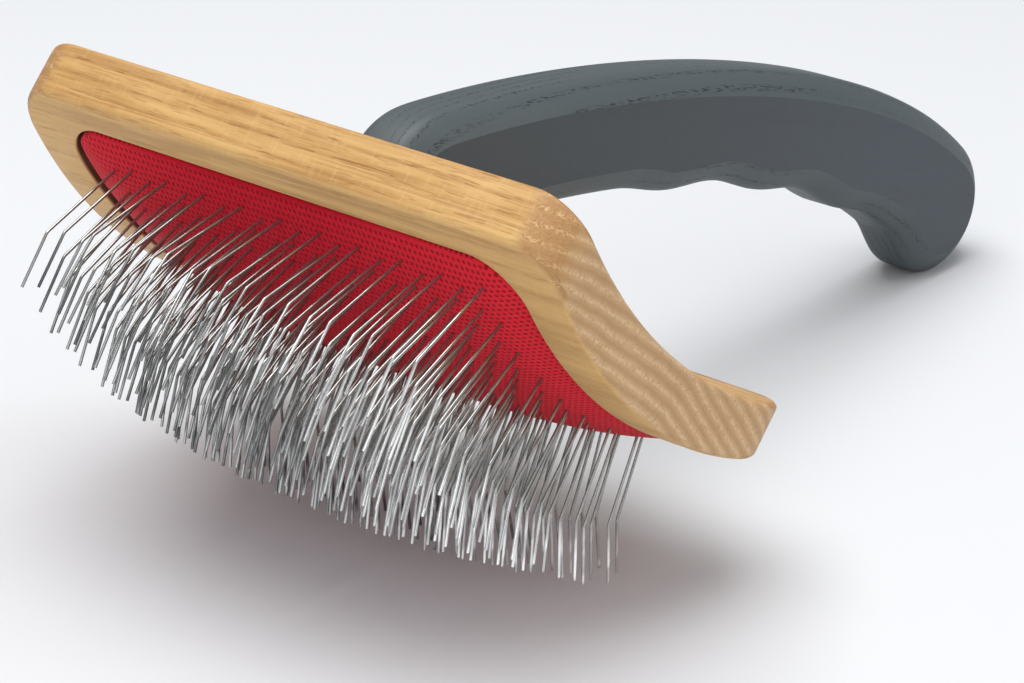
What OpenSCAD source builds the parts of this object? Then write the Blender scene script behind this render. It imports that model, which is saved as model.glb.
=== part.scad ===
// Curved slicker brush: a bent wooden head with a pocketed pin pad, and a
// wooden handle with finger ridges. All sizes are in millimetres.
// Pieces are drawn in the head's own frame: X runs side to side, Y from the
// toe edge to the heel edge, Z from the pin side to the handle side, with the
// origin on the middle of the pin side. The whole brush is then tipped until
// the heel row of pins and the butt of the handle stand on the floor.

/* [Head] */
// Length of the head, side to side
head_len = 110; // [95:1:140]
// Depth of the head, toe edge to heel edge
head_depth = 76; // [68:1:90]
// Thickness of the head at its middle
head_t = 10.8; // [9.5:0.1:15]
// Radius of the bend on the pin side
front_r = 84; // [78:1:130]
// Radius of the hollow on the handle side
back_r = 96; // [85:1:150]
// Corner radius of the head, seen from the handle side
corner_r = 8; // [4:0.5:14]

/* [Pad pocket] */
// Width of the wooden rim at the two sides
side_rim = 8.8; // [6:0.1:14]
// Width of the wooden rim at the toe and at the heel
end_rim = 4.8; // [3.5:0.1:8]
// Depth of the pocket below the pin side
pocket_depth = 6; // [5.6:0.1:7.5]
// Corner radius of the pocket
pocket_r = 8.6; // [4:0.1:14]

/* [Pad] */
// Room between the pad's corners and the pocket wall
pad_gap = 0.4; // [0.2:0.1:1]
// How far the pad's sides draw in between its corners
pad_draw = 0.6; // [0:0.1:1.5]
// Height of the pad's middle above the line of the rim
pad_crown = 4.8; // [3:0.1:6]
// Depth of the pad's edges below the rim
pad_recess = 0.2; // [0.1:0.1:1]
// Thickness of the woven facing
facing_t = 0.8; // [0.5:0.1:1.2]
// Thickness of the canvas that holds the pins
backing_t = 1.2; // [0.8:0.1:1.6]
// Air left between the layers of the pad
layer_gap = 0.05; // [0.02:0.01:0.1]

/* [Pins] */
// Number of rows, toe to heel
pin_rows = 16; // [15:1:20]
// Number of pins in a full row; every second row has one less
pin_cols = 20; // [20:1:24]
// From the pocket's side walls to the nearest pins
side_margin = 8.2; // [6:0.1:12]
// From the pocket's toe wall to the first row
toe_margin = 6; // [4:0.1:10]
// From the pocket's heel wall to the last row
heel_margin = 7; // [5:0.1:12]
// Thickness of the wire
wire_w = 0.5; // [0.3:0.05:0.55]
// From the face of the pad to the knee of a pin
pin_rise = 16.2; // [10:0.1:22]
// From the knee to the tip
pin_tip = 9.4; // [6:0.1:14]
// Lean of the pins towards the toe
pin_lean = 7.5; // [0:0.5:14]
// How much wider the rows fan out than the rim's own bend
pin_fan = 1.33; // [1:0.01:1.5]
// Bend at the knee, back towards the heel
pin_bend = 30; // [15:0.5:40]
// Width of the slit that each row passes through
slit_w = 0.7; // [0.6:0.05:1]
// How much of the heel row's tips is worn flat where the brush stands
stand_flat = 0.5; // [0.2:0.1:1]

/* [Handle] */
// Width of the handle
handle_w = 14; // [12:0.5:24]
// Radius of the handle's long edges
edge_r = 5; // [3:0.5:5.5]
// Depth of the grip at the finger hollows
grip_depth = 20.1; // [17:0.1:25]
// How much deeper the grip is at its last ridge
grip_swell = 1.4; // [0:0.1:3]
// Height of the finger ridges
ridge_h = 1.3; // [0:0.1:2.4]
// Distance between the finger ridges
ridge_pitch = 26.5; // [23:0.5:28]
// Number of finger ridges
ridge_count = 3; // [2:1:3]
// Where the first ridge lies, from the head's middle
ridge_y = 41; // [37:0.5:45]
// Toe end of the foot, from the head's middle
foot_toe = 17.5; // [14:0.5:22]
// Heel end of the foot, from the head's middle
foot_heel = 21; // [18:0.5:24]
// Where the back of the handle leaves the nose, towards the toe
shoulder_y = 8.5; // [6:0.5:11]
// Height of that point above the pin side
shoulder_z = 35; // [32:0.5:40]
// Slope of the back of the handle there
shoulder_slope = 39; // [34:0.5:44]
// Middle of the round butt, towards the heel
butt_y = 133.5; // [122:0.5:145]
// Middle of the round butt, above the pin side
butt_z = 87.5; // [80:0.5:95]
// Radius of the round butt
butt_r = 13.1; // [12.5:0.1:16]

/* [Screws] */
// Diameter of the two screws
screw_d = 4; // [3:0.5:5]
// Length of the screws
screw_len = 22; // [16:1:24]
// Diameter of the screw heads
screw_head_d = 7.6; // [6.5:0.1:9]
// Height of the screw heads
screw_head_h = 2; // [1.5:0.1:2.4]
// Distance between the two screws
screw_span = 19; // [14:0.5:22]
// How far the screw heads are sunk below the pocket's floor
screw_sunk = 0.3; // [0.1:0.1:0.8]
// Room round a screw in the wood
screw_play = 0.05; // [0.02:0.01:0.1]

/* [Hidden] */
$fn = 96;
// Cutting bodies reach this far past what they cut
past = 1;
// Turns length on the pin side into degrees of its bend
deg_per_mm = 180 / (PI * front_r);

// Pocket and pad, half sizes in plan
pocket_x = head_len / 2 - side_rim;
pocket_y = head_depth / 2 - end_rim;
pad_x = pocket_x - pad_gap;
pad_y = pocket_y - pad_gap;
pad_r = pocket_r - pad_gap;

// Depth of the bend at a distance y from the head's middle
function front_z(y) = front_r - sqrt(front_r * front_r - y * y);
function back_z(y) = head_t + back_r - sqrt(back_r * back_r - y * y);
floor_r = front_r - pocket_depth;
function floor_z(y) = front_r - sqrt(floor_r * floor_r - y * y);

// Pad crown: one arc toe to heel, and shares of its height from the middle out to each side
pad_rise = front_z(pad_y) + pad_recess + pad_crown;
crown_r = (pad_y * pad_y + pad_rise * pad_rise) / (2 * pad_rise);
crown_axis = crown_r - pad_crown;
crown_line = [[0, 1.1], [0.3, 1.02], [0.55, 0.74], [0.8, 0.3], [1, -0.06]];

// Rows of pins, placed by angle about the axis of the bend
pocket_angle = asin(pocket_y / front_r);
first_angle = toe_margin * deg_per_mm - pocket_angle;
last_angle = pocket_angle - heel_margin * deg_per_mm;
row_step = (last_angle - first_angle) / (pin_rows - 1);
pin_pitch = 2 * (pocket_x - side_margin) / (pin_cols - 1);
pin_depth = pocket_depth - backing_t / 2;
function row_angle(j) = first_angle + j * row_step;

// Flat slices of the canvas, from edge to edge by angle; the end ones reach the pad's ends
pad_angle = asin(pad_y / floor_r);
function hold_angle(j) = let (p = pin_root(j)) atan2(p[0], front_r - p[1]);
function slice_from(j) = j == 0 ? -pad_angle : (hold_angle(j - 1) + hold_angle(j)) / 2;
function slice_to(j) = j == pin_rows - 1 ? pad_angle : (hold_angle(j) + hold_angle(j + 1)) / 2;
function slice_half(j) = floor_r * tan((slice_to(j) - slice_from(j)) / 2) - layer_gap;
canvas_r = norm([floor_r + backing_t, max(slice_half(0), slice_half(pin_rows - 1))]);

// Pins of a row
function row_count(j) = pin_cols - j % 2;
function pin_x(j, i) = (i - (row_count(j) - 1) / 2) * pin_pitch;

// Height of the pad's face over the line of the rim, where a pin leaves it
axis_gap = front_r - crown_axis;
function arc_lift(a) = axis_gap * cos(a) + sqrt(crown_r * crown_r - pow(axis_gap * sin(a), 2)) - front_r;
function side_lift(x) = (pad_crown + pad_recess) * lookup(abs(x) / (pad_x + past), crown_line) - pad_recess;
function pin_lift(j, x) = max(0, min(arc_lift(row_angle(j)), side_lift(x)));

// Points along a pin in the Y-Z plane
function along(a) = [sin(a), -cos(a)];
function across(a) = [cos(a), sin(a)];
function rim_point(j) = [front_r * sin(row_angle(j)), front_r - front_r * cos(row_angle(j))];
function wire_angle(j) = pin_fan * row_angle(j) - pin_lean;
function pin_root(j) = rim_point(j) - pin_depth * along(wire_angle(j));
function pin_knee(j, x) = rim_point(j) + (pin_lift(j, x) + pin_rise) * along(wire_angle(j));
function pin_end(j, x, short = 0) =
    pin_knee(j, x) + (pin_tip - short) * along(wire_angle(j) + pin_bend);

// Outline of the handle in the Y-Z plane
foot_steps = 8;
heel_steps = 8;
back_steps = 36;
butt_steps = 16;
edge_steps = 3;
// Least rounding of an edge, and how far from the head it is full
edge_least = 0.6;
edge_fade = 16;
// How far the ends of the back line and of the nose keep their slope
back_share = 0.345;
crest_share = 0.292;
nose_share = 0.65;
function seat_z(y) = back_z(y) + layer_gap;
shoulder = [-shoulder_y, shoulder_z];
crest = [butt_y, butt_z + butt_r];
back_pull = (butt_y + shoulder_y) * back_share;
crest_pull = (butt_y + shoulder_y) * crest_share;
nose_pull = 9;
neck_pull = 10;
// Length of the hollow in front of the butt
flare_len = 16.5;
function slope(a) = [cos(a), sin(a)];
function bezier(p, t) =
    pow(1 - t, 3) * p[0] + 3 * pow(1 - t, 2) * t * p[1] + 3 * (1 - t) * t * t * p[2] + pow(t, 3) * p[3];
function bezier_dir(p, t) =
    let (d = pow(1 - t, 2) * (p[1] - p[0]) + 2 * (1 - t) * t * (p[2] - p[1]) + t * t * (p[3] - p[2]))
    d / norm(d);
back_line = [
    shoulder,
    shoulder + back_pull * slope(shoulder_slope),
    crest - [crest_pull, 0],
    crest
];
nose_rise = (shoulder_z - seat_z(foot_toe)) * nose_share;
nose_line = [
    [-foot_toe, seat_z(foot_toe)],
    [-foot_toe, seat_z(foot_toe) + nose_rise],
    shoulder - nose_pull * slope(shoulder_slope),
    shoulder
];

// Depth of the grip below a point of the back line
ridge_from = ridge_y - ridge_pitch / 2;
ridge_to = ridge_from + ridge_count * ridge_pitch;
function ridge(y) =
    y < ridge_from || y > ridge_to ? 0 : ridge_h * (1 + cos(360 * (y - ridge_y) / ridge_pitch)) / 2;
function ease(t) = t <= 0 ? 0 : t * t * (3 - 2 * t);
function grip(y) = grip_depth + grip_swell * pow(max(0, y - ridge_y) / (ridge_pitch * (ridge_count - 1)), 2);
function flare(y) = (2 * butt_r - grip(y)) * ease((y - butt_y + flare_len) / flare_len);
function underside(t) =
    let (p = bezier(back_line, t), d = bezier_dir(back_line, t))
    p + (grip(p[0]) + ridge(p[0]) + flare(p[0])) * [d[1], -d[0]];
// Shares of the back line that lie over the foot and before the grip
foot_t = 0.08;
neck_t = 0.14;
neck = underside(neck_t);
heel_line = [
    neck,
    neck - neck_pull * bezier_dir(back_line, neck_t),
    [foot_heel, seat_z(foot_heel) + neck_pull],
    [foot_heel, seat_z(foot_heel)]
];
outline = concat(
    [for (k = [0 : foot_steps - 1]) bezier(nose_line, k / foot_steps)],
    [for (k = [0 : heel_steps - 1]) bezier(back_line, foot_t * k / heel_steps)],
    [for (k = [0 : back_steps - 1]) bezier(back_line, foot_t + (1 - foot_t) * k / back_steps)],
    [for (k = [0 : butt_steps - 1]) [butt_y, butt_z] + butt_r * slope(90 - 180 * k / butt_steps)],
    [for (k = [0 : back_steps - 1]) underside(1 - (1 - neck_t) * k / back_steps)],
    [for (k = [0 : heel_steps - 1]) bezier(heel_line, k / heel_steps)],
    [
        for (k = [0 : foot_steps - 1])
            let (y = foot_heel - (foot_heel + foot_toe) * k / foot_steps)
            [y, seat_z(y)]
    ]
);
outline_n = len(outline);
function inward(k) =
    let (
        d = outline[(k + 1) % outline_n] - outline[(k + outline_n - 1) % outline_n],
        u = d / norm(d)
    )
    [u[1], -u[0]];
// The rounding of the edges fades out towards the head
function edge_at(p) =
    let (rise = abs(p[0]) < head_depth / 2 ? p[1] - seat_z(p[0]) : edge_fade)
    edge_least + (edge_r - edge_least) * ease(min(1, rise / edge_fade));

// Standing pose: heel tips and butt on the floor
heel_tip = pin_end(pin_rows - 1, 0, stand_flat);
stand_run = butt_y - heel_tip[0];
stand_rise = heel_tip[1] - butt_z;
tilt = asin(-butt_r / norm([stand_run, stand_rise])) - atan2(stand_rise, stand_run);
function stood(p) = [p[0] * cos(tilt) + p[1] * sin(tilt), p[1] * cos(tilt) - p[0] * sin(tilt)];
toe_edge = stood([-head_depth / 2, front_z(head_depth / 2)])[0];
toe_tip = stood(pin_end(0, 0) - wire_w / 2 * across(wire_angle(0) + pin_bend))[0];
stand_y = (min(toe_edge, toe_tip) + stood([butt_y, butt_z])[0] + butt_r) / 2;
stand_z = stood(heel_tip)[1];

function two_digits(n) = n < 10 ? str("0", n) : str(n);
function row_name(j) = str("pin_row_", two_digits(j + 1));

// Tips a piece from the head's frame into the standing pose
module stand() {
    translate([0, -stand_y, -stand_z])
        rotate([-tilt, 0, 0])
            children();
}

// Solid cylinder along X whose axis is at height z
module bend_cylinder(r, z) {
    translate([0, 0, z])
        rotate([0, 90, 0])
            cylinder(r = r, h = head_len + 2 * past, center = true);
}

// Upright block with rounded corners, given by its half sizes
module rounded_block(x, y, r, z0, z1) {
    translate([0, 0, z0])
        linear_extrude(z1 - z0) {
            square([2 * x, 2 * (y - r)], center = true);
            square([2 * (x - r), 2 * y], center = true);
            for (sx = [-1, 1], sy = [-1, 1])
                translate([sx * (x - r), sy * (y - r)])
                    circle(r = r);
        }
}

// Upright block of the pad's outline, with its sides drawn in
module pad_block(z0, z1) {
    difference() {
        rounded_block(pad_x, pad_y, pad_r, z0, z1);
        if (pad_draw > 0)
            for (s = [-1, 1]) {
                drawn_side(s * pad_x, pad_y - pad_r / 2, z0, z1);
                rotate([0, 0, 90])
                    drawn_side(s * pad_y, pad_x - pad_r / 2, z0, z1);
            }
    }
}

// Shallow round cut along a side of the pad, at x = side, from corner to corner
module drawn_side(side, half, z0, z1) {
    r = (half * half + pad_draw * pad_draw) / (2 * pad_draw);
    translate([side + sign(side) * (r - pad_draw), 0, z0 - past])
        cylinder(r = r, h = z1 - z0 + 2 * past, $fn = 360);
}

// Crowned solid under the pad's face, set below it by inset
module crowned_solid(inset) {
    low = front_r - pad_recess - inset;
    high = pad_crown + pad_recess;
    side = [for (c = crown_line) [low + high * c[1], c[0] * (pad_x + past)]];
    last = len(side) - 1;
    face = concat([for (k = [0 : last - 1]) [side[last - k][0], -side[last - k][1]]], side);
    intersection() {
        bend_cylinder(crown_r - inset, crown_axis);
        translate([0, 0, front_r])
            rotate([0, 90, 0])
                rotate_extrude()
                    polygon(concat([[front_r / 2, -pad_x - past]], face, [[front_r / 2, pad_x + past]]));
    }
}

// Slits through the pad, one for each row of pins
module row_slits() {
    slit_x = pocket_x - side_margin + pin_pitch / 2;
    slit_z = max(pocket_depth, pad_crown) + past;
    for (j = [0 : pin_rows - 1])
        at_angle(row_angle(j))
            rotate([wire_angle(j) - row_angle(j), 0, 0])
                cube([2 * slit_x, slit_w, 2 * slit_z], center = true);
}

// Places a child on the rim line, at an angle about the axis of the bend
module at_angle(angle) {
    translate([0, 0, front_r])
        rotate([angle, 0, 0])
            translate([0, 0, -front_r])
                children();
}

// Places a child at the two screws, with their heads below the pocket's floor
module at_screws() {
    for (s = [-1, 1])
        translate([0, s * screw_span / 2, floor_z((screw_span + screw_head_d) / 2) + screw_sunk])
            children();
}

// Flat-headed screw, or the room that it needs in the wood
module screw(play) {
    cylinder(d = screw_head_d + 2 * play, h = screw_head_h + play);
    cylinder(d = screw_d + 2 * play, h = screw_len + play);
}

// Bent head with its pocket and its two stepped screw holes
module head_board() {
    top = back_z(head_depth / 2) + past;
    color("burlywood")
        stand()
            difference() {
                intersection() {
                    rounded_block(head_len / 2, head_depth / 2, corner_r, -past, top);
                    bend_cylinder(front_r, front_r);
                }
                bend_cylinder(back_r, head_t + back_r);
                difference() {
                    rounded_block(pocket_x, pocket_y, pocket_r, -past, floor_z(pocket_y) + past);
                    bend_cylinder(floor_r, front_r);
                }
                at_screws() {
                    screw(screw_play);
                    translate([0, 0, -pocket_depth])
                        cylinder(d = screw_head_d + 2 * screw_play, h = pocket_depth);
                }
            }
}

// Handle skin: the outline swept across the width, with rounded edges
module handle_skin() {
    rings = [
        for (s = [-1, 1], k = [0 : edge_steps])
            let (a = s < 0 ? 90 * k / edge_steps : 90 - 90 * k / edge_steps)
            [s, 1 - cos(a), 1 - sin(a)]
    ];
    ring_n = len(rings);
    points = [
        for (g = rings, k = [0 : outline_n - 1])
            let (e = edge_at(outline[k]), p = outline[k] + e * g[2] * inward(k))
            [g[0] * (handle_w / 2 - e * g[1]), p[0], p[1]]
    ];
    sides = [
        for (g = [0 : ring_n - 2], k = [0 : outline_n - 1])
            let (a = g * outline_n, b = a + outline_n, n = (k + 1) % outline_n)
            each [[a + k, b + n, b + k], [a + k, a + n, b + n]]
    ];
    half = outline_n / 2;
    flat = [
        for (k = [0 : half - 1])
            let (low = (outline_n - k) % outline_n, next = outline_n - k - 1)
            each [
                if (k < half - 1) [k, k + 1, next],
                if (k > 0) [k, next, low]
            ]
    ];
    last = (ring_n - 1) * outline_n;
    first_flat = [for (f = flat) [f[0], f[2], f[1]]];
    last_flat = [for (f = flat) [f[0] + last, f[1] + last, f[2] + last]];
    polyhedron(points, concat(sides, first_flat, last_flat));
}

// Stained wooden handle, seated in the hollow of the head
module handle() {
    color("dimgray")
        stand()
            difference() {
                handle_skin();
                at_screws()
                    screw(screw_play);
            }
}

// Two screws from the pocket's floor into the foot of the handle
module handle_screws() {
    color("darkgray")
        stand()
            at_screws()
                screw(0);
}

// Foam between the canvas and the woven facing
module pad_foam() {
    color("firebrick")
        stand()
            difference() {
                intersection() {
                    pad_block(-pad_crown - past, floor_z(pad_y));
                    crowned_solid(facing_t + layer_gap);
                }
                bend_cylinder(canvas_r + layer_gap, front_r);
                row_slits();
            }
}

// Red woven facing with its crown
module pad_facing() {
    color("crimson")
        stand()
            difference() {
                intersection() {
                    pad_block(-pad_crown - past, floor_z(pad_y));
                    crowned_solid(0);
                }
                crowned_solid(facing_t);
                row_slits();
            }
}

// Slice of the canvas backing that holds row j
module backing_slice(j) {
    half = slice_half(j);
    intersection() {
        at_angle((slice_from(j) + slice_to(j)) / 2)
            translate([-pad_x, -half, pocket_depth - backing_t])
                cube([2 * pad_x, 2 * half, backing_t - layer_gap]);
        rounded_block(pad_x, pad_y, pad_r, -past, floor_z(pad_y) + past);
    }
}

// One bent pin of four sides: root, knee and tip
module pin(j, x) {
    a = wire_angle(j);
    h = wire_w / 2;
    stations = [
        [pin_root(j), h * across(a)],
        [pin_knee(j, x), h / cos(pin_bend / 2) * across(a + pin_bend / 2)],
        [pin_end(j, x), h * across(a + pin_bend)]
    ];
    points = [
        for (s = stations, c = [[-1, -1], [1, -1], [1, 1], [-1, 1]])
            let (p = s[0] + c[1] * s[1])
            [x + c[0] * h, p[0], p[1]]
    ];
    sides = [
        for (s = [0, 4], k = [0 : 3])
            let (n = (k + 1) % 4)
            each [[s + k, s + 4 + n, s + 4 + k], [s + k, s + n, s + 4 + n]]
    ];
    polyhedron(points, concat(sides, [[0, 2, 1], [0, 3, 2], [8, 9, 10], [8, 10, 11]]));
}

// Row j of steel pins with its slice of the backing
module pin_row(j) {
    color("silver")
        difference() {
            stand() {
                backing_slice(j);
                for (i = [0 : row_count(j) - 1])
                    pin(j, pin_x(j, i));
            }
            if (j == pin_rows - 1)
                translate([-head_len / 2, -head_len, -pin_tip])
                    cube([head_len, 2 * head_len, pin_tip]);
        }
}

head_board();
handle();
handle_screws();
pad_foam();
pad_facing();
for (j = [0 : pin_rows - 1])
    pin_row(j);
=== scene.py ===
import math
import random
import bmesh
import bpy
from mathutils import Matrix, Vector


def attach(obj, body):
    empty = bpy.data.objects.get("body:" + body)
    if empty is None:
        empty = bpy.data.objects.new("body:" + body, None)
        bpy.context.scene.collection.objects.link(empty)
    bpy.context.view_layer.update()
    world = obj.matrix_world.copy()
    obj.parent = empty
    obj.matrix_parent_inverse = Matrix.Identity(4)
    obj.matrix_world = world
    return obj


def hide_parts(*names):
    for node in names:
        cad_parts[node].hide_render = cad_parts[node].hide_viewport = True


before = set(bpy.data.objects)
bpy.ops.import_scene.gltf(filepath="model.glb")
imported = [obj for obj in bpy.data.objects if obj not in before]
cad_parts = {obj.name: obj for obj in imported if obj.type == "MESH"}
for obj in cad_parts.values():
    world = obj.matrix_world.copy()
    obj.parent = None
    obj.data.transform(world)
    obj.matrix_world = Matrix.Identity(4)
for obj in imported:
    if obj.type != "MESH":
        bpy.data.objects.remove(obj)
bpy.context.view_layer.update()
bpy.ops.object.select_all(action="DESELECT")
mm = 0.001
near = 0.02 * mm  # closer than this counts as the same place
weld = 0.004 * mm  # points closer than this are merged

# the brush is modelled lying flat, pins down, and is then tipped into its stand
stance = {"tilt": 42.88170, "backY": 64.7479 * mm, "dropZ": -39.8285 * mm}
standTurn = Matrix.Rotation(math.radians(-stance["tilt"]), 4, "X")
standing = Matrix.Translation((0, -stance["backY"], -stance["dropZ"])) @ standTurn


# general helpers

def pickOnly(obj):
    bpy.ops.object.select_all(action="DESELECT")
    bpy.context.view_layer.objects.active = obj
    obj.select_set(True)


def startEdit(obj):
    pickOnly(obj)
    bpy.ops.object.mode_set(mode="EDIT")


def endEdit():
    bpy.ops.object.mode_set(mode="OBJECT")
    return bpy.context.active_object


def selectEdges(test):
    mesh = bmesh.from_edit_mesh(bpy.context.active_object.data)
    bpy.ops.mesh.select_mode(type="EDGE")
    for f in mesh.faces:
        f.select_set(False)
    for e in mesh.edges:
        e.select_set(bool(test(e.verts[0].co) and test(e.verts[1].co)))
    bmesh.update_edit_mesh(bpy.context.active_object.data)


def cornerDistance(co, halfX, halfY, radius):
    qx = abs(co.x) - halfX + radius
    qy = abs(co.y) - halfY + radius
    return math.hypot(max(qx, 0), max(qy, 0)) + min(max(qx, qy), 0) - radius


def onOutline(halfX, halfY, radius, z):
    def test(co):
        return abs(cornerDistance(co, halfX, halfY, radius)) < near and abs(co.z - z) < near
    return test


def addRoundedPlate(halfX, halfY, radius, steps):
    # a plane with its four corners rounded, added to the mesh being edited
    bpy.ops.mesh.select_all(action="DESELECT")
    bpy.ops.mesh.primitive_plane_add(size=2)
    bpy.ops.transform.resize(value=(halfX, halfY, 1))
    bpy.ops.mesh.bevel(offset=radius, offset_type="OFFSET", segments=steps, affect="VERTICES")


def cutAcross(axis, places):
    # straight cuts through the whole mesh, so that it can take a bend
    normal = [0, 0, 0]
    normal[axis] = 1
    for place in places:
        spot = [0, 0, 0]
        spot[axis] = place
        bpy.ops.mesh.select_all(action="SELECT")
        bpy.ops.mesh.bisect(plane_co=spot, plane_no=normal)


def evenly(low, high, step):
    count = max(1, round((high - low) / step))
    return [low + (high - low) * k / count for k in range(count + 1)]


def ease(t):
    return 0 if t <= 0 else t * t * (3 - 2 * t)


def newMesh(name):
    # an empty mesh, open for editing
    bpy.ops.object.select_all(action="DESELECT")
    bpy.ops.mesh.primitive_plane_add(size=1)
    obj = bpy.context.active_object
    obj.name = obj.data.name = name
    bpy.ops.object.mode_set(mode="EDIT")
    bpy.ops.mesh.delete(type="VERT")


def tidyNormals():
    bpy.ops.mesh.select_all(action="SELECT")
    bpy.ops.mesh.remove_doubles(threshold=weld)
    bpy.ops.mesh.normals_make_consistent(inside=False)


def standUp(obj):
    pickOnly(obj)
    obj.matrix_world = standing @ obj.matrix_world
    bpy.ops.object.transform_apply(location=True, rotation=True, scale=True)


def smoothShade(obj, angle):
    pickOnly(obj)
    bpy.ops.object.shade_smooth_by_angle(angle=math.radians(angle))


def markFacing(obj, name):
    # how squarely each point faces the two sides of the brush
    share = obj.data.attributes.new(name, "FLOAT", "POINT")
    for v in obj.data.vertices:
        share.data[v.index].value = abs(v.normal.x)


def markSides(obj, name):
    # the flat sides, face by face
    share = obj.data.attributes.new(name, "FLOAT", "FACE")
    for f in obj.data.polygons:
        share.data[f.index].value = abs(f.normal.x)


def cutAway(obj, tool):
    pickOnly(obj)
    cut = obj.modifiers.new("cut", "BOOLEAN")
    cut.operation = "DIFFERENCE"
    cut.solver = "EXACT"
    cut.object = tool
    bpy.ops.object.modifier_apply(modifier=cut.name)
    bpy.data.objects.remove(tool)


# shader helpers

class Wire:
    def __init__(self, graph, socket):
        self.graph = graph
        self.socket = socket

    def math(self, operation, *values):
        return self.graph.add("ShaderNodeMath", {"operation": operation}, dict(enumerate(values)))

    def __add__(self, other): return self.math("ADD", self, other)
    def __radd__(self, other): return self.math("ADD", other, self)
    def __sub__(self, other): return self.math("SUBTRACT", self, other)
    def __rsub__(self, other): return self.math("SUBTRACT", other, self)
    def __mul__(self, other): return self.math("MULTIPLY", self, other)
    def __rmul__(self, other): return self.math("MULTIPLY", other, self)
    def __truediv__(self, other): return self.math("DIVIDE", self, other)
    def __rtruediv__(self, other): return self.math("DIVIDE", other, self)
    def __abs__(self): return self.math("ABSOLUTE", self)
    def fract(self): return self.math("FRACT", self)
    def floor(self): return self.math("FLOOR", self)


class Graph:
    def __init__(self, name):
        self.material = bpy.data.materials.new(name)
        self.material.use_nodes = True
        self.tree = self.material.node_tree
        self.shader = self.tree.nodes["Principled BSDF"]

    def add(self, kind, settings=None, inputs=None, out=0):
        node = self.tree.nodes.new(kind)
        for key, value in (settings or {}).items():
            if key == "stops":
                while len(node.color_ramp.elements) < len(value):
                    node.color_ramp.elements.new(0.5)
                for stop, (place, color) in zip(node.color_ramp.elements, value):
                    stop.position = place
                    stop.color = color
            else:
                setattr(node, key, value)
        for key, value in (inputs or {}).items():
            if isinstance(value, Wire):
                self.tree.links.new(value.socket, node.inputs[key])
            else:
                node.inputs[key].default_value = value
        return Wire(self, node.outputs[out])

    def split(self, vector):
        return [self.add("ShaderNodeSeparateXYZ", None, {0: vector}, k) for k in range(3)]

    def join(self, x, y, z):
        return self.add("ShaderNodeCombineXYZ", None, {0: x, 1: y, 2: z})

    def step(self, value, low, high):
        return self.add("ShaderNodeMapRange", {"interpolation_type": "SMOOTHSTEP"},
                        {0: value, 1: low, 2: high})

    def noise(self, vector, grains, detail=2, rough=0.5):
        # grains to the metre along each axis
        place = self.add("ShaderNodeVectorMath", {"operation": "MULTIPLY"}, {0: vector, 1: grains})
        return self.add("ShaderNodeTexNoise", None,
                        {"Vector": place, "Scale": 1.0, "Detail": detail, "Roughness": rough})

    def mix(self, factor, first, second):
        # sockets 6 and 7 are the colours, output 2 the mixed one
        return self.add("ShaderNodeMix", {"data_type": "RGBA"}, {0: factor, 6: first, 7: second}, 2)

    def ramp(self, value, stops):
        return self.add("ShaderNodeValToRGB", {"stops": stops}, {0: value})

    def attribute(self, name):
        # output 2 is the plain value
        return self.add("ShaderNodeAttribute", {"attribute_name": name}, None, 2)

    def set(self, **values):
        for key, value in values.items():
            socket = self.shader.inputs[key.replace("_", " ")]
            if isinstance(value, Wire):
                self.tree.links.new(value.socket, socket)
            else:
                socket.default_value = value

    def bump(self, height, distance, strength):
        self.set(Normal=self.add("ShaderNodeBump", None,
                                 {"Strength": strength, "Distance": distance, "Height": height}))

    def reach(self, y, z):
        # distance from the axis of the head's bend
        return self.add("ShaderNodeVectorMath", {"operation": "LENGTH"},
                        {0: self.join(0, y, z - board["frontBend"])}, 1)

    def lyingFlat(self):
        # object coordinates turned back into the head's own lie
        back = standTurn.inverted()
        place = -(back @ Vector((0, -stance["backY"], -stance["dropZ"])))
        spot = self.add("ShaderNodeTexCoord", None, None, 3)  # output 3 is the object's own place
        return self.add("ShaderNodeMapping", None, {
            "Vector": spot, "Location": place, "Rotation": (math.radians(stance["tilt"]), 0, 0)})


def rgb(r, g, b):
    return (r, g, b, 1)


# camera, lamps and floor

# the view was found from the outlines of head and handle
photoView = {
    "place": (0.33036, -0.42380, 0.25214),
    "right": (0.76542, 0.64350, 0.00589),
    "up": (-0.26450, 0.30623, 0.91447),
    "back": (0.58666, -0.70151, 0.40460),
    "lens": 119.507, "sensor": 36, "clip": (0.01, 20),
}


def setCamera():
    data = bpy.data.cameras.new("photoCamera")
    data.sensor_width = photoView["sensor"]
    data.sensor_fit = "HORIZONTAL"
    data.lens = photoView["lens"]
    data.clip_start, data.clip_end = photoView["clip"]
    camera = bpy.data.objects.new("photoCamera", data)
    bpy.context.scene.collection.objects.link(camera)
    axes = [Vector(photoView[k]).normalized() for k in ("right", "up", "back")]
    turn = Matrix(axes).transposed().to_4x4()
    camera.matrix_world = Matrix.Translation(photoView["place"]) @ turn
    bpy.context.scene.camera = camera
    print("camera set")


studio = {
    "worldColor": (0.93, 0.96, 1.0),
    "worldLight": 0.34,
    "overhead": {"place": (-0.07, -0.09, 0.95), "aim": (0, -0.03, 0.03), "size": 0.82, "power": 10.6},
    "front": {"place": (0.40, -1.0, 0.45), "aim": (0, -0.05, 0.03), "size": 0.9, "power": 3.4},
    "side": {"place": (1.0, -0.25, 0.55), "aim": (0, 0, 0.04), "size": 0.6, "power": 1.2},
    "back": {"place": (0.80, 0.70, 0.60), "aim": (0, 0, 0.04), "size": 0.6, "power": 2.0},
    "floorColor": (0.67, 0.68, 0.695), "floorSize": 6, "floorRough": 0.75, "floorShine": 0.2,
}


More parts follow.
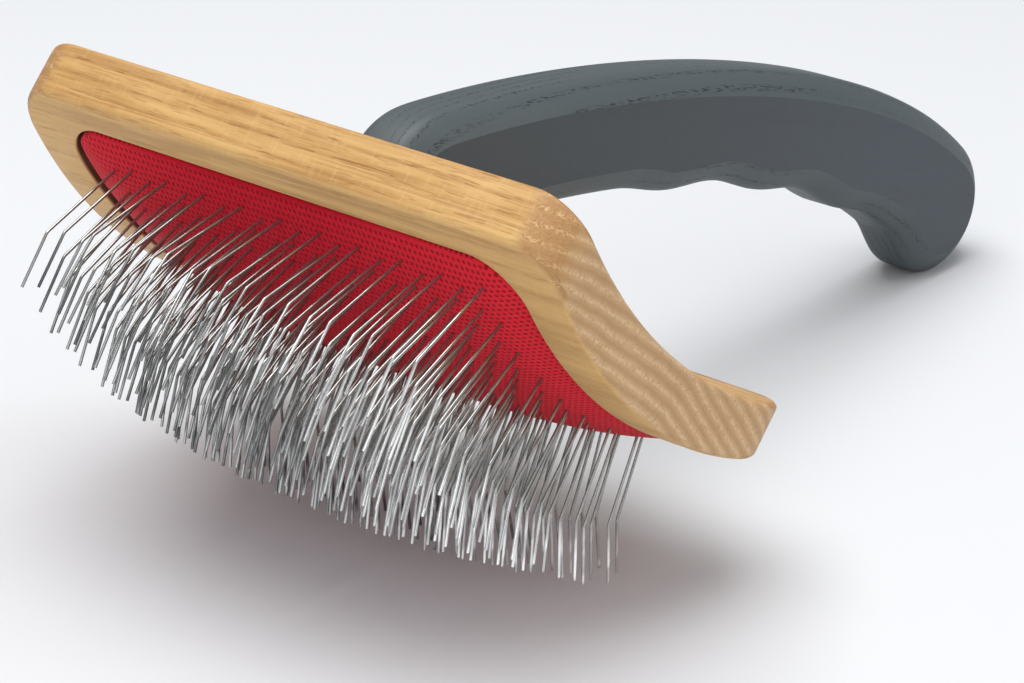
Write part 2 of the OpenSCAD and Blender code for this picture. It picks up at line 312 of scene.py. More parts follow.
def addLamp(name, spec):
    data = bpy.data.lights.new(name, "AREA")
    data.shape = "SQUARE"
    data.size = spec["size"]
    data.energy = spec["power"]
    lamp = bpy.data.objects.new(name, data)
    bpy.context.scene.collection.objects.link(lamp)
    lamp.location = spec["place"]
    aim = Vector(spec["aim"]) - Vector(spec["place"])
    lamp.rotation_euler = aim.to_track_quat("-Z", "Y").to_euler()


def setStudio():
    scene = bpy.context.scene
    scene.view_settings.view_transform = "Standard"
    world = bpy.data.worlds.new("studioWorld")
    scene.world = world
    world.use_nodes = True
    backdrop = world.node_tree.nodes["Background"]
    backdrop.inputs["Color"].default_value = rgb(*studio["worldColor"])
    backdrop.inputs["Strength"].default_value = studio["worldLight"]
    for place in ("overhead", "front", "side", "back"):
        addLamp(place + "Softbox", studio[place])
    bpy.ops.object.select_all(action="DESELECT")
    bpy.ops.mesh.primitive_plane_add(size=studio["floorSize"], location=(0, 0, 0))
    floor = bpy.context.active_object
    floor.name = "paleFloor"
    paint = Graph("paleFloor")
    paint.set(Base_Color=rgb(*studio["floorColor"]), Roughness=studio["floorRough"],
              Specular_IOR_Level=studio["floorShine"])
    floor.data.materials.append(paint.material)
    print("studio set")


# head board

board = {
    "halfX": 55 * mm, "halfY": 38 * mm, "thick": 10.8 * mm, "corner": 8 * mm,
    "pocketX": 46.2 * mm, "pocketY": 33.2 * mm, "pocketCorner": 8.6 * mm, "pocketDeep": 6 * mm,
    "frontBend": 84 * mm, "backBend": 96 * mm,
    "edgeRound": 1.3 * mm, "edgeSteps": 5, "mouthRound": 0.4 * mm, "mouthSteps": 2,
    "slice": 1.6 * mm, "cornerSteps": 10, "crease": 40,
}


def frontDip(y):
    return board["frontBend"] - math.sqrt(board["frontBend"] ** 2 - y * y)


def backDip(y):
    return board["thick"] + board["backBend"] - math.sqrt(board["backBend"] ** 2 - y * y)


def makeBoard():
    b = board
    newMesh("headBoard")
    addRoundedPlate(b["halfX"], b["halfY"], b["corner"], b["cornerSteps"])
    addRoundedPlate(b["pocketX"], b["pocketY"], b["pocketCorner"], b["cornerSteps"])
    bpy.ops.mesh.select_all(action="SELECT")
    bpy.ops.mesh.delete(type="ONLY_FACE")
    bpy.ops.mesh.select_mode(type="EDGE")
    bpy.ops.mesh.select_all(action="SELECT")
    bpy.ops.mesh.bridge_edge_loops()
    outer = (b["halfX"], b["halfY"], b["corner"])
    inner = (b["pocketX"], b["pocketY"], b["pocketCorner"])
    for outline, height in ((outer, b["thick"]), (inner, b["pocketDeep"])):
        selectEdges(onOutline(*outline, 0))
        bpy.ops.mesh.extrude_region_move(TRANSFORM_OT_translate={"value": (0, 0, height)})
        bpy.ops.mesh.edge_face_add()
    tidyNormals()
    for height in (0, b["thick"]):
        selectEdges(onOutline(*outer, height))
        bpy.ops.mesh.bevel(offset=b["edgeRound"], segments=b["edgeSteps"], affect="EDGES",
                           clamp_overlap=False)
    selectEdges(onOutline(*inner, 0))
    bpy.ops.mesh.bevel(offset=b["mouthRound"], segments=b["mouthSteps"], affect="EDGES",
                       clamp_overlap=False)
    cutAcross(1, evenly(-b["halfY"], b["halfY"], b["slice"])[1:-1])
    tidyNormals()
    obj = endEdit()
    for v in obj.data.vertices:
        share = v.co.z / b["thick"]
        v.co.z = frontDip(v.co.y) * (1 - share) + backDip(v.co.y) * share
    smoothShade(obj, b["crease"])
    markFacing(obj, "endGrain")
    standUp(obj)
    obj.data.materials.append(honeyWood())
    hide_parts("head_board")
    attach(obj, "root")
    print("head board:", len(obj.data.polygons), "faces")


honeyTones = {
    "long": [(0.36, rgb(0.66, 0.425, 0.172)), (0.53, rgb(0.535, 0.312, 0.112)),
             (0.70, rgb(0.34, 0.170, 0.052))],
    "wave": rgb(0.36, 0.175, 0.06), "line": rgb(0.37, 0.180, 0.055), "ray": rgb(0.72, 0.50, 0.24),
    "pore": rgb(0.30, 0.125, 0.03),
    "across": (rgb(0.45, 0.260, 0.112), rgb(0.64, 0.405, 0.202)), "acrossPore": rgb(0.31, 0.16, 0.06),
    "lateWood": rgb(0.34, 0.178, 0.066), "earlyWood": rgb(0.77, 0.56, 0.34),
    "corner": rgb(0.36, 0.182, 0.066), "fleck": rgb(0.70, 0.46, 0.21),
    "rim": rgb(0.76, 0.47, 0.185), "rimRing": rgb(0.42, 0.225, 0.088), "pocketShade": rgb(0.055, 0.022, 0.012),
    "ringPitch": 2.4 * mm, "ringDrift": 1.7, "ringTilt": 0.035, "ringCurve": 3.64, "waveDrift": 4 * mm,
    "rimDeep": (0.05 * mm, 0.5 * mm), "rimRingAt": -36.1 * mm, "rimRingDrift": 3.5 * mm,
    "rimRingWide": (0.3 * mm, 1.5 * mm), "rimRingDeep": (0.8 * mm, 2.0 * mm),
    "pocketShadeFrom": (0.2 * mm, 0.6 * mm), "pocketShadeTo": (6.2 * mm, 6.6 * mm),
    "pocketShadeOut": 0.3 * mm, "pocketShadeIn": 0.1 * mm, "cornerBlend": 1 * mm,
}


def honeyWood():
    t = honeyTones
    g = Graph("honeyWood")
    spot = g.lyingFlat()
    x, y, z = g.split(spot)
    facing = g.attribute("endGrain")
    ends = g.step(facing, 0.25, 0.8)
    turned = board["halfY"] - board["corner"]
    corner = g.step(facing, 0.04, 0.35) - g.step(facing, 0.85, 1.0)
    corner = corner * g.step(abs(y), turned - t["cornerBlend"], turned + t["cornerBlend"])
    # growth rings are wide shells, cut almost flat by the toe face and the rim
    drift = g.noise(spot, (9, 40, 40), detail=3, rough=0.55) - 0.5
    shell = z + y * t["ringTilt"] + y * y * t["ringCurve"]
    turn = (shell / t["ringPitch"] + drift * t["ringDrift"]).fract()
    early = g.step(turn, 0.0, 0.16) - g.step(turn, 0.2, 0.5)
    late = g.step(turn, 0.4, 0.7) - g.step(turn, 0.72, 1.0)
    # along the grain: clouds, streaks, thin lines, cross rays and pores
    streak = g.noise(spot, (40, 900, 900), detail=4, rough=0.65)
    cloud = g.noise(spot, (22, 120, 120), detail=4, rough=0.6)
    sway = drift * t["waveDrift"]
    wave = g.noise(g.join(x, y + sway, z + sway), (13, 230, 230))
    line = g.noise(spot, (16, 1500, 1500))
    ray = g.noise(spot, (1500, 300, 300))
    dash = g.noise(spot, (170, 2400, 2400), rough=0.6)
    pore = g.step(dash, 0.55, 0.66) * (early * 0.6 + 0.4)
    long = g.ramp(cloud * 0.6 + early * 0.10 + streak * 0.4, t["long"])
    long = g.mix(g.step(wave, 0.56, 0.70) * 0.6, long, t["wave"])
    long = g.mix(g.step(line, 0.54, 0.66) * 0.5, long, t["line"])
    long = g.mix(g.step(ray, 0.52, 0.75) * 0.16, long, t["ray"])
    long = g.mix(pore * 0.85, long, t["pore"])
    # across the grain: dark late wood, pale dotted early wood
    speck = g.noise(spot, (1900, 2100, 2100), rough=0.6)
    bands = early * (0.3 + g.step(speck, 0.40, 0.62) * 0.7)
    across = g.mix(cloud, *t["across"])
    across = g.mix(late * 0.4, across, t["lateWood"])
    across = g.mix(bands * 0.55, across, t["earlyWood"])
    across = g.mix((1 - g.step(speck, 0.30, 0.46)) * 0.35, across, t["acrossPore"])
    color = g.mix(ends, long, across)
    color = g.mix(corner * 0.8, color, t["corner"])
    fleck = g.step(g.noise(spot, (2000, 2000, 4200), rough=0.6), 0.46, 0.60)
    color = g.mix(corner * fleck * (0.15 + early * 0.6), color, t["fleck"])
    # the rim is painted paler, painted light standing in for the bounce from the white floor, and one
    # dark ring runs along its toe side
    depth = board["frontBend"] - g.reach(y, z)
    color = g.mix((1 - g.step(depth, *t["rimDeep"])) * 0.45, color, t["rim"])
    seam = 1 - g.step(abs(y - t["rimRingAt"] + drift * t["rimRingDrift"]), *t["rimRingWide"])
    seam = seam * (1 - g.step(depth, *t["rimRingDeep"])) * g.step(streak, 0.30, 0.60)
    color = g.mix(seam * 0.6, color, t["rimRing"])
    # painted shade: the walls of the pocket are painted dark, as the deep gap beside the pad lies in
    # shade
    inside = g.step(depth, *t["pocketShadeFrom"]) - g.step(depth, *t["pocketShadeTo"])
    for place, wall in ((x, board["pocketX"]), (y, board["pocketY"])):
        inside = inside * g.step(abs(place), wall + t["pocketShadeOut"], wall + t["pocketShadeIn"])
    color = g.mix(inside * 0.9, color, t["pocketShade"])
    g.set(Base_Color=color, Roughness=0.46 + pore * 0.2, Specular_IOR_Level=0.35)
    g.bump(streak * 0.3 - pore * 0.8 + ends * speck * 0.5, distance=0.10 * mm, strength=0.6)
    return g.material


# pad: woven facing over foam

pad = {
    "halfX": 45.8 * mm, "halfY": 32.8 * mm, "corner": 8.2 * mm, "drawIn": 0.6 * mm,
    "crown": 5.0 * mm, "recess": 0.2 * mm, "sideShare": 1.1, "sidePower": 2.2,
    "sideSink": 0.9 * mm, "sinkPower": 10, "blend": 1.2 * mm, "puff": 0.3 * mm,
    "facing": 0.8 * mm, "gap": 0.05 * mm, "canvas": 1.2 * mm, "canvasRoom": 0.4 * mm,
    "edgeRound": 0.45 * mm, "edgeSteps": 3, "cornerSteps": 8, "cell": 2.4 * mm, "crease": 50,
}


def crownDip(x, y):
    # height of the cushion: an arc toe to heel, eased into a fuller arc side to side
    p = pad
    rise = frontDip(p["halfY"]) + p["recess"] + p["crown"]
    radius = (p["halfY"] ** 2 + rise * rise) / (2 * rise)
    alongArc = radius - p["crown"] - math.sqrt(radius * radius - y * y)
    out = abs(x / p["halfX"])
    swell = (p["crown"] + p["recess"]) * p["sideShare"] * (1 - out ** p["sidePower"]) - p["recess"]
    swell -= p["sideSink"] * out ** p["sinkPower"]
    bend = board["frontBend"]
    sideArc = bend - math.sqrt((bend + swell) ** 2 - y * y)
    return (alongArc + sideArc + math.hypot(alongArc - sideArc, p["blend"])) / 2 - p["puff"]


def canvasDip(x, y):
    floorBend = board["frontBend"] - board["pocketDeep"] + pad["canvas"] + pad["canvasRoom"]
    return board["frontBend"] - math.sqrt(floorBend ** 2 - y * y)


def makePadLayer(name, node, top, base, roundTop):
    p = pad
    newMesh(name)
    addRoundedPlate(p["halfX"], p["halfY"], p["corner"], p["cornerSteps"])
    bpy.ops.mesh.select_all(action="SELECT")
    bpy.ops.mesh.extrude_region_move(TRANSFORM_OT_translate={"value": (0, 0, p["facing"])})
    tidyNormals()
    if roundTop:
        selectEdges(onOutline(p["halfX"], p["halfY"], p["corner"], 0))
        bpy.ops.mesh.bevel(offset=p["edgeRound"], segments=p["edgeSteps"], affect="EDGES",
                           clamp_overlap=False)
    cutAcross(0, evenly(-p["halfX"], p["halfX"], p["cell"])[1:-1])
    cutAcross(1, evenly(-p["halfY"], p["halfY"], p["cell"])[1:-1])
    tidyNormals()
    obj = endEdit()
    for v in obj.data.vertices:
        share = v.co.z / p["facing"]
        v.co.z = top(v.co.x, v.co.y) * (1 - share) + base(v.co.x, v.co.y) * share
        x, y = v.co.x / p["halfX"], v.co.y / p["halfY"]
        v.co.x -= p["drawIn"] * x * (1 - y * y)
        v.co.y -= p["drawIn"] * y * (1 - x * x)
    smoothShade(obj, p["crease"])
    standUp(obj)
    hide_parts(node)
    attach(obj, "root")
    return obj


def facingBase(x, y):
    return crownDip(x, y) + pad["facing"]


def foamTop(x, y):
    return facingBase(x, y) + pad["gap"]


def makePad():
    facing = makePadLayer("padFacing", "pad_facing", crownDip, facingBase, True)
    facing.data.materials.append(redWeave())
    foam = makePadLayer("padFoam", "pad_foam", foamTop, canvasDip, False)
    foam.data.materials.append(redFoam())
    print("pad: facing", len(facing.data.polygons), "faces, foam", len(foam.data.polygons))


weaveTones = {
    "thread": (rgb(0.45, 0.006, 0.018), rgb(0.60, 0.016, 0.032)), "paintedLightThread": rgb(0.77, 0.027, 0.043),
    "hole": rgb(0.23, 0.002, 0.008), "rowPitch": 0.92 * mm, "holePitch": 1.0 * mm,
    "wobble": 0.22, "slant": 0.2, "holeAcross": 8.6, "holeAlong": 9.6, "holeEdge": (0.1, 1.35),
    "pinShadeMidX": -4 * mm, "paintedLightFrom": 8 * mm, "paintedLightTo": 42 * mm,
}


def redWeave():
    # rows of slanting holes, each row shifted by half a hole; the red is painted paler to the sides and
    # darker in the middle, painted light and painted shade of the pins
    t = weaveTones
    g = Graph("redWeave")
    spot = g.lyingFlat()
    x, y = g.split(spot)[:2]
    wobble = g.noise(spot, (420, 420, 420)) - 0.5
    along = y / t["rowPitch"]
    v = along.fract() - 0.5
    u = (x / t["holePitch"] + along.floor() * 0.5 + wobble * t["wobble"]).fract() - 0.5 - v * t["slant"]
    hole = 1 - g.step((u * u) * t["holeAcross"] + (v * v) * t["holeAlong"], *t["holeEdge"])
    fleck = g.noise(spot, (1300, 1300, 1300))
    red = g.mix(fleck, *t["thread"])
    # painted light and shade: paler red to the sides, darker red in the middle where the pins cast
    # shade
    red = g.mix(g.step(abs(x - t["pinShadeMidX"]), t["paintedLightFrom"], t["paintedLightTo"]) * 0.6, red, t["paintedLightThread"])
    g.set(Base_Color=g.mix(hole * 0.75, red, t["hole"]), Roughness=0.7, Specular_IOR_Level=0.06,
          Sheen_Weight=0.05, Sheen_Roughness=0.4)
    g.bump((1 - hole) * 0.9 + fleck * 0.2, distance=0.18 * mm, strength=0.8)
    return g.material


foamTones = {"cells": (rgb(0.22, 0.01, 0.015), rgb(0.40, 0.02, 0.03))}


def redFoam():
    g = Graph("redFoam")
    cells = g.noise(g.lyingFlat(), (1400, 1400, 1400), detail=3)
    g.set(Base_Color=g.mix(cells, *foamTones["cells"]), Roughness=0.9)
    g.bump(cells, distance=0.2 * mm, strength=0.6)
    return g.material


# pins

pins = {
    "rows": 16, "columns": 20, "sideMargin": 8.2 * mm, "toeMargin": 6.0 * mm, "heelMargin": 7.0 * mm,
    "wire": 0.5 * mm, "sides": 8, "depth": 5.4 * mm, "rise": 16.2 * mm, "tip": 9.4 * mm,
    "lean": 7.5, "fan": 1.33, "midFan": 0.25, "endFan": -0.30, "sideLean": 3.5, "sideShift": 2 * mm,
    "bend": 30, "kneeRadius": 1.4 * mm, "kneeSteps": 3, "crease": 60,
    "heelSink": 0.8 * mm, "endTuck": 2.2 * mm, "uneven": 0.4 * mm,
    "sway": 1.4, "twist": 4, "jitter": 0.35 * mm, "stagger": 0.5 * mm, "seed": 11,
}


def makePin():
    # one round wire: straight shank, turned knee, straight tip
    p = pins
    cut = p["kneeRadius"] * math.tan(math.radians(p["bend"] / 2))
    bpy.ops.object.select_all(action="DESELECT")
    bpy.ops.mesh.primitive_circle_add(vertices=p["sides"], radius=p["wire"] / 2, location=(0, 0, 0))
    pin = bpy.context.active_object
    pin.name = pin.data.name = "pinPattern"
    bpy.ops.object.mode_set(mode="EDIT")
    bpy.ops.mesh.select_all(action="SELECT")
    bpy.ops.transform.translate(value=(0, 0, p["depth"]))
    shank = p["depth"] + p["rise"] - cut
    bpy.ops.mesh.extrude_region_move(TRANSFORM_OT_translate={"value": (0, 0, -shank)})
    bpy.ops.mesh.spin(steps=p["kneeSteps"], angle=-math.radians(p["bend"]), axis=(1, 0, 0),
                      center=(0, p["kneeRadius"], -p["rise"] + cut))
    run = p["tip"] - cut
    way = math.radians(p["bend"])
    bpy.ops.mesh.extrude_region_move(
        TRANSFORM_OT_translate={"value": (0, run * math.sin(way), -run * math.cos(way))})
    bpy.ops.mesh.edge_face_add()
    selectEdges(lambda co: co.z > p["depth"] - near)
    bpy.ops.mesh.edge_face_add()
    tidyNormals()
    pin = endEdit()
    smoothShade(pin, p["crease"])
    pin.data.materials.append(brightSteel())
    return pin


def rowAngle(j):
    # the row's place along the head's bend, spaced between the two margins
    perMetre = 1 / board["frontBend"]
    edge = math.asin(board["pocketY"] / board["frontBend"])
    first = pins["toeMargin"] * perMetre - edge
    last = edge - pins["heelMargin"] * perMetre
    return first + (last - first) * j / (pins["rows"] - 1)


def rowHold(j):
    # where the row leaves the canvas, toe to heel
    angle = rowAngle(j)
    wireAngle = angle * pins["fan"] - math.radians(pins["lean"])
    return board["frontBend"] * math.sin(angle) - pins["depth"] * math.sin(wireAngle)


def makeCanvas(j, cloth):
    # the row's own slice of the backing, cut from the pad's outline
    p, last = pad, pins["rows"] - 1
    newMesh("canvasSlice")
    addRoundedPlate(p["halfX"], p["halfY"], p["corner"], p["cornerSteps"])
    bpy.ops.mesh.select_all(action="SELECT")
    bpy.ops.mesh.extrude_region_move(TRANSFORM_OT_translate={"value": (0, 0, p["canvas"])})
    tidyNormals()
    if j > 0:
        place = (rowHold(j - 1) + rowHold(j)) / 2 + p["gap"]
        bpy.ops.mesh.select_all(action="SELECT")
        bpy.ops.mesh.bisect(plane_co=(0, place, 0), plane_no=(0, 1, 0), use_fill=True, clear_inner=True)
    if j < last:
        place = (rowHold(j) + rowHold(j + 1)) / 2 - p["gap"]
        bpy.ops.mesh.select_all(action="SELECT")
        bpy.ops.mesh.bisect(plane_co=(0, place, 0), plane_no=(0, 1, 0), use_fill=True, clear_outer=True)
    tidyNormals()
    obj = endEdit()
    floorBend = board["frontBend"] - board["pocketDeep"] + p["gap"]
    for v in obj.data.vertices:
        v.co.z = board["frontBend"] - math.sqrt((floorBend + p["canvas"] - v.co.z) ** 2 - v.co.y ** 2)
    obj.data.materials.append(cloth)
    return obj


def placePin(j, x, side, chance):
    # stands a pin about square to the cushion, leaning a little to the toe
    p, last = pins, pins["rows"] - 1
    angle = rowAngle(j)
    y = board["frontBend"] * math.sin(angle)
    outward = x / (board["pocketX"] - p["sideMargin"])
    share = 1 - min(1, abs(outward)) ** pad["sidePower"]
    fan = p["fan"] + p["endFan"] + (p["midFan"] - p["endFan"]) * share
    turn = angle * fan - math.radians(p["lean"] + chance.uniform(-p["sway"], p["sway"]))
    tilt = math.radians(chance.uniform(-p["sway"], p["sway"]) - p["sideLean"])
    twist = math.radians(chance.uniform(-p["twist"], p["twist"]))
    lift = (frontDip(y) - crownDip(x, y)) * math.cos(angle)
    sink = p["heelSink"] if j == last else chance.uniform(-p["uneven"], p["uneven"])
    # the right end of the heel rows sits deeper
    sink += p["endTuck"] * ease(min(1, outward)) * j / last
    return (Matrix.Translation((x + p["sideShift"], y, frontDip(y)))
            @ Matrix.Rotation(turn, 4, "X") @ Matrix.Rotation(tilt, 4, "Y")
            @ Matrix.Rotation(twist, 4, "Z")
            @ Matrix.Translation((0, side * p["stagger"], sink - lift)))


def makePins():
    p = pins
    chance = random.Random(p["seed"])
    pattern = makePin()
    cloth = canvasCloth()
    pitch = 2 * (board["pocketX"] - p["sideMargin"]) / (p["columns"] - 1)
    for j in range(p["rows"]):
        count = p["columns"] - j % 2
        row = []
        for i in range(count):
            side = -1 if i % 2 else 1
            copy = pattern.copy()
            copy.data = pattern.data.copy()
            bpy.context.scene.collection.objects.link(copy)
            x = (i - (count - 1) / 2) * pitch + chance.uniform(-p["jitter"], p["jitter"])
            copy.matrix_world = placePin(j, x, side, chance)
            row.append(copy)
        row.append(makeCanvas(j, cloth))
        bpy.ops.object.select_all(action="DESELECT")
        for copy in row:
            copy.select_set(True)
        bpy.context.view_layer.objects.active = row[0]
        bpy.ops.object.transform_apply(location=True, rotation=True, scale=True)
        bpy.ops.object.join()
        obj = bpy.context.active_object
        obj.name = obj.data.name = "pinRow%02d" % (j + 1)
        standUp(obj)
        startEdit(obj)
        bpy.ops.mesh.select_all(action="SELECT")
        # no tip reaches below the floor
        bpy.ops.mesh.bisect(plane_co=(0, 0, near), plane_no=(0, 0, 1), use_fill=True, clear_inner=True)
        endEdit()
        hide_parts("pin_row_%02d" % (j + 1))
        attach(obj, "root")
    bpy.data.objects.remove(pattern)
    print("pins:", p["rows"], "rows")


steelTones = {
    "shank": (rgb(0.29, 0.285, 0.272), rgb(0.43, 0.422, 0.40)),
    "shadedTip": (rgb(0.17, 0.173, 0.17), rgb(0.50, 0.505, 0.50)),
    "litTip": (rgb(0.58, 0.583, 0.58), rgb(0.97, 0.975, 0.965)),
    "tipReflectionFrom": 15 * mm, "tipReflectionTo": 22 * mm, "litTipTo": 36 * mm,
}


def brightSteel():
    # dull shanks; the tips are painted bright as a painted reflection, and painted lighter to the right
    # as painted light; no two pins alike
    t = steelTones
    g = Graph("brightSteel")
    spot = g.lyingFlat()
    x, y, z = g.split(spot)
    fine = g.noise(spot, (700, 700, 700))
    each = g.step(g.noise(spot, (420, 420, 40), detail=1), 0.40, 0.60)
    # painted reflection: past the knee the wire is painted bright, and lighter towards the right
    tipReflection = g.step(g.reach(y, z) - board["frontBend"], t["tipReflectionFrom"], t["tipReflectionTo"])
    tip = g.mix(g.step(x, 0, t["litTipTo"]), g.mix(each, *t["shadedTip"]), g.mix(each, *t["litTip"]))
    color = g.mix(tipReflection, g.mix(fine, *t["shank"]), tip)
    g.set(Base_Color=color, Metallic=0.85, Roughness=0.13 + fine * 0.06)
    return g.material


clothTones = {"thread": (rgb(0.30, 0.27, 0.22), rgb(0.42, 0.38, 0.31))}


def canvasCloth():
    g = Graph("canvasCloth")
    thread = g.noise(g.lyingFlat(), (900, 900, 900))
    g.set(Base_Color=g.mix(thread, *clothTones["thread"]), Roughness=0.9)
    return g.material


# handle

handle = {
    "halfWidth": 7 * mm, "edge": 4.3 * mm, "edgeSteps": 6, "depth": 20.1 * mm, "swell": 1.4 * mm,
    "ridgeHigh": 1.3 * mm, "ridgePitch": 26.5 * mm, "ridgeCount": 3, "ridgeAt": 41 * mm,
    "footToe": 17.5 * mm, "footHeel": 21 * mm, "shoulder": (-8.5 * mm, 35 * mm), "slope": 39,
    "butt": (133.5 * mm, 87.5 * mm), "buttRadius": 13.1 * mm,
    "backShare": 0.345, "crestShare": 0.292, "noseShare": 0.65, "nosePull": 9 * mm, "neckPull": 10 * mm,
    "flare": 16.5 * mm, "neckAt": 0.14, "sunk": 6 * mm, "seatGap": 0.05 * mm, "crease": 22,
    "noseSteps": 16, "backSteps": 90, "buttSteps": 32, "gripSteps": 110, "throatSteps": 20,
    "seatPlace": (0, 2 * mm, 3 * mm), "seatSize": (40 * mm, 60 * mm, 40 * mm), "seatSides": 360,
}


def curvePoint(points, t):
    a, b, c, d = points
    return a * (1 - t) ** 3 + b * 3 * t * (1 - t) ** 2 + c * 3 * t * t * (1 - t) + d * t ** 3


def curveWay(points, t):
    a, b, c, d = points
    return ((b - a) * (1 - t) ** 2 + (c - b) * 2 * t * (1 - t) + (d - c) * t * t).normalized()


def handleOutline():
    h = handle
    shoulder, butt = Vector(h["shoulder"]), Vector(h["butt"])
    crest = butt + Vector((0, h["buttRadius"]))
    span = butt.x - shoulder.x
    slope = Vector((math.cos(math.radians(h["slope"])), math.sin(math.radians(h["slope"]))))
    back = [shoulder, shoulder + slope * span * h["backShare"],
            crest - Vector((span * h["crestShare"], 0)), crest]
    toe = Vector((-h["footToe"], backDip(h["footToe"])))
    nose = [toe, toe + Vector((0, (shoulder.y - toe.y) * h["noseShare"])),
            shoulder - slope * h["nosePull"], shoulder]

    def under(t):
        # the grip side: the back's curve set off by the depth, with ridges and a flare at the butt
        p, way = curvePoint(back, t), curveWay(back, t)
        off = (p.x - h["ridgeAt"]) / h["ridgePitch"]
        grip = deep = h["depth"] + h["swell"] * (max(0, off) / (h["ridgeCount"] - 1)) ** 2
        if -0.5 <= off <= h["ridgeCount"] - 0.5:
            deep += h["ridgeHigh"] * (1 + math.cos(2 * math.pi * off)) / 2
        deep += (2 * h["buttRadius"] - grip) * ease((p.x - butt.x + h["flare"]) / h["flare"])
        return p + Vector((way.y, -way.x)) * deep

    neck = under(h["neckAt"])
    heel = Vector((h["footHeel"], backDip(h["footHeel"])))
    throat = [neck, neck - curveWay(back, h["neckAt"]) * h["neckPull"],
              heel + Vector((0, h["neckPull"])), heel]
    points = [toe - Vector((0, h["sunk"]))]
    points += [curvePoint(nose, k / h["noseSteps"]) for k in range(h["noseSteps"])]
    points += [curvePoint(back, k / h["backSteps"]) for k in range(h["backSteps"])]
    for k in range(h["buttSteps"]):
        angle = math.radians(90 - 180 * k / h["buttSteps"])
        points.append(butt + Vector((math.cos(angle), math.sin(angle))) * h["buttRadius"])
    points += [under(1 - (1 - h["neckAt"]) * k / h["gripSteps"]) for k in range(h["gripSteps"])]
    points += [curvePoint(throat, k / h["throatSteps"]) for k in range(h["throatSteps"] + 1)]
    points.append(heel - Vector((0, h["sunk"])))
    return points


def makeHandle():
    h = handle
    points = handleOutline()
    data = bpy.data.curves.new("handleOutline", "CURVE")
    data.dimensions = "2D"
    data.fill_mode = "BOTH"
    data.extrude = h["halfWidth"] - h["edge"]
    data.bevel_depth = h["edge"]
    data.bevel_resolution = h["edgeSteps"]
    data.offset = -h["edge"]
    line = data.splines.new("POLY")
    line.points.add(len(points) - 1)
    for spot, p in zip(line.points, points):
        spot.co = (p.x, p.y, 0, 1)
    line.use_cyclic_u = True
    obj = bpy.data.objects.new("stainedHandle", data)
    bpy.context.scene.collection.objects.link(obj)
    pickOnly(obj)
    bpy.ops.object.convert(target="MESH")
    obj = bpy.context.active_object
    obj.data.name = obj.name
    # the curve's own X, Y, Z become the head's Y, Z, X
    obj.matrix_world = Matrix(((0, 0, 1, 0), (1, 0, 0, 0), (0, 1, 0, 0), (0, 0, 0, 1)))
    bpy.ops.object.transform_apply(location=True, rotation=True, scale=True)
    startEdit(obj)
    tidyNormals()
    obj = endEdit()
    # the rounded edges meet the flat sides in a line
    flat = h["halfWidth"] - h["edge"]
    for v in obj.data.vertices:
        out = min(1, max(0, abs(v.co.x) - flat) / h["edge"])
        if out > 0:
            v.co.x = math.copysign(flat + h["edge"] * math.sqrt(1 - math.sqrt(1 - out * out)), v.co.x)
    seatHandle(obj)
    smoothShade(obj, h["crease"])
    markSides(obj, "sideFace")
    standUp(obj)
    obj.data.materials.append(slateWood())
    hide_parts("handle")
    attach(obj, "root")
    print("handle:", len(obj.data.polygons), "faces")


def seatHandle(obj):
    # trims the foot to the hollow of the head
    h = handle
    bpy.ops.object.select_all(action="DESELECT")
    bpy.ops.mesh.primitive_cube_add(size=1, location=h["seatPlace"], scale=h["seatSize"])
    block = bpy.context.active_object
    bpy.ops.object.transform_apply(location=True, rotation=True, scale=True)
    axis = board["thick"] + board["backBend"] + h["seatGap"]
    bpy.ops.mesh.primitive_cylinder_add(
        vertices=h["seatSides"], radius=board["backBend"], depth=h["seatSize"][1],
        location=(0, 0, axis), rotation=(0, math.pi / 2, 0))
    hollow = bpy.context.active_object
    cutAway(block, hollow)
    cutAway(obj, block)


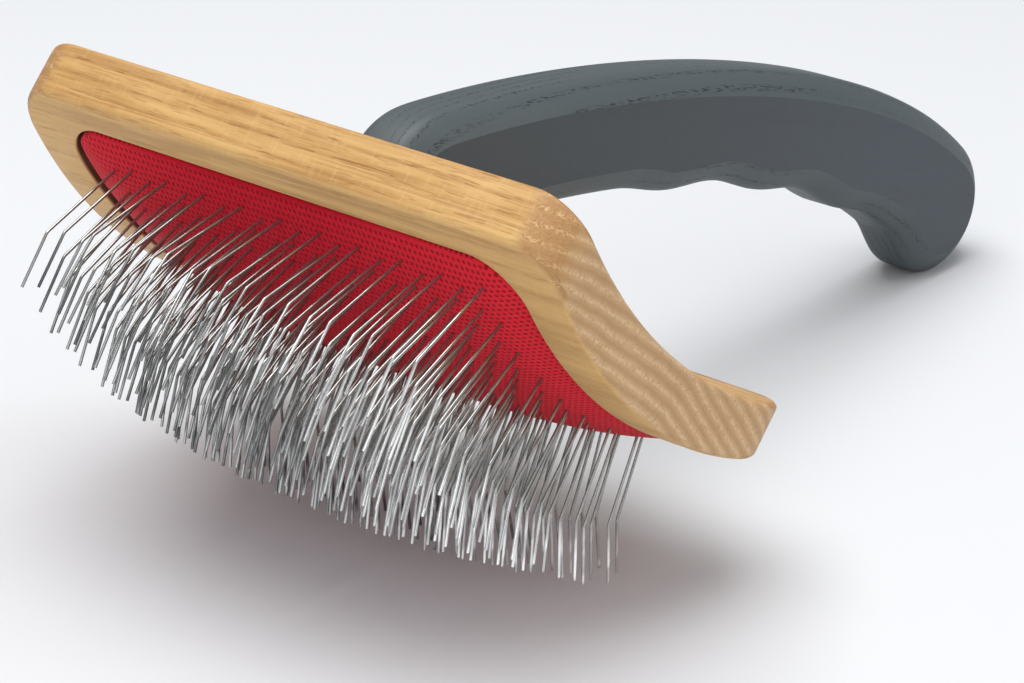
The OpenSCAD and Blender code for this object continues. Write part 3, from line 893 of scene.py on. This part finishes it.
slateTones = {
    "cloud": (rgb(0.054, 0.069, 0.074), rgb(0.078, 0.094, 0.100)), "pore": rgb(0.008, 0.009, 0.010),
    "shadedFlank": (rgb(0.037, 0.044, 0.051), rgb(0.041, 0.050, 0.065)),
    "shadedFlankFrom": 60 * mm, "shadedFlankTo": 130 * mm,
    "grainSlope": -25.8, "ringPitch": 1.7 * mm, "ringDrift": 1.4, "ringAcross": 0.97, "ringUp": 0.15,
}


def slateWood():
    # stained wood, open pores in rows along the rounded edges
    t = slateTones
    g = Graph("slateWood")
    turned = g.add("ShaderNodeMapping", None,
                   {"Vector": g.lyingFlat(), "Rotation": (math.radians(t["grainSlope"]), 0, 0)})
    x, y, z = g.split(turned)
    side = g.step(g.attribute("sideFace"), 0.95, 0.98)
    drift = g.noise(turned, (50, 9, 50)) - 0.5
    shell = z * t["ringUp"] + x * t["ringAcross"]
    turn = (shell / t["ringPitch"] + drift * t["ringDrift"]).fract()
    early = g.step(turn, 0.0, 0.1) - g.step(turn, 0.2, 0.42)
    dash = g.noise(turned, (4600, 480, 4600), rough=0.55)
    patch = g.step(g.noise(turned, (90, 24, 90), detail=1), 0.40, 0.56)
    pore = g.step(dash, 0.52, 0.60) * early * patch * (1 - side * 0.8)
    cloud = g.noise(turned, (70, 16, 70), detail=3)
    fine = g.noise(turned, (1800, 350, 1800))
    # painted shade: the flat sides are painted darker than the rounded top, a little lighter and bluer
    # toward the butt
    shadedFlank = g.mix(g.step(y, t["shadedFlankFrom"], t["shadedFlankTo"]), *t["shadedFlank"])
    color = g.mix(side * 0.8, g.mix(cloud, *t["cloud"]), shadedFlank)
    color = g.mix(pore * 0.85, color, t["pore"])
    g.set(Base_Color=color, Roughness=0.44 + fine * 0.12, Specular_IOR_Level=0.45)
    g.bump(fine * 0.15 - pore, distance=0.12 * mm, strength=0.5)
    return g.material


# screws keep their solids

screwTones = {"zinc": (rgb(0.42, 0.42, 0.43), rgb(0.56, 0.56, 0.57))}


def dressScrews():
    g = Graph("zincSteel")
    fine = g.noise(g.lyingFlat(), (800, 800, 800))
    g.set(Base_Color=g.mix(fine, *screwTones["zinc"]), Metallic=1.0, Roughness=0.3 + fine * 0.2)
    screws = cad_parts["handle_screws"]
    screws.data.materials.clear()
    screws.data.materials.append(g.material)
    print("screws dressed")


setCamera()
setStudio()
makeBoard()
makePad()
makePins()
makeHandle()
dressScrews()
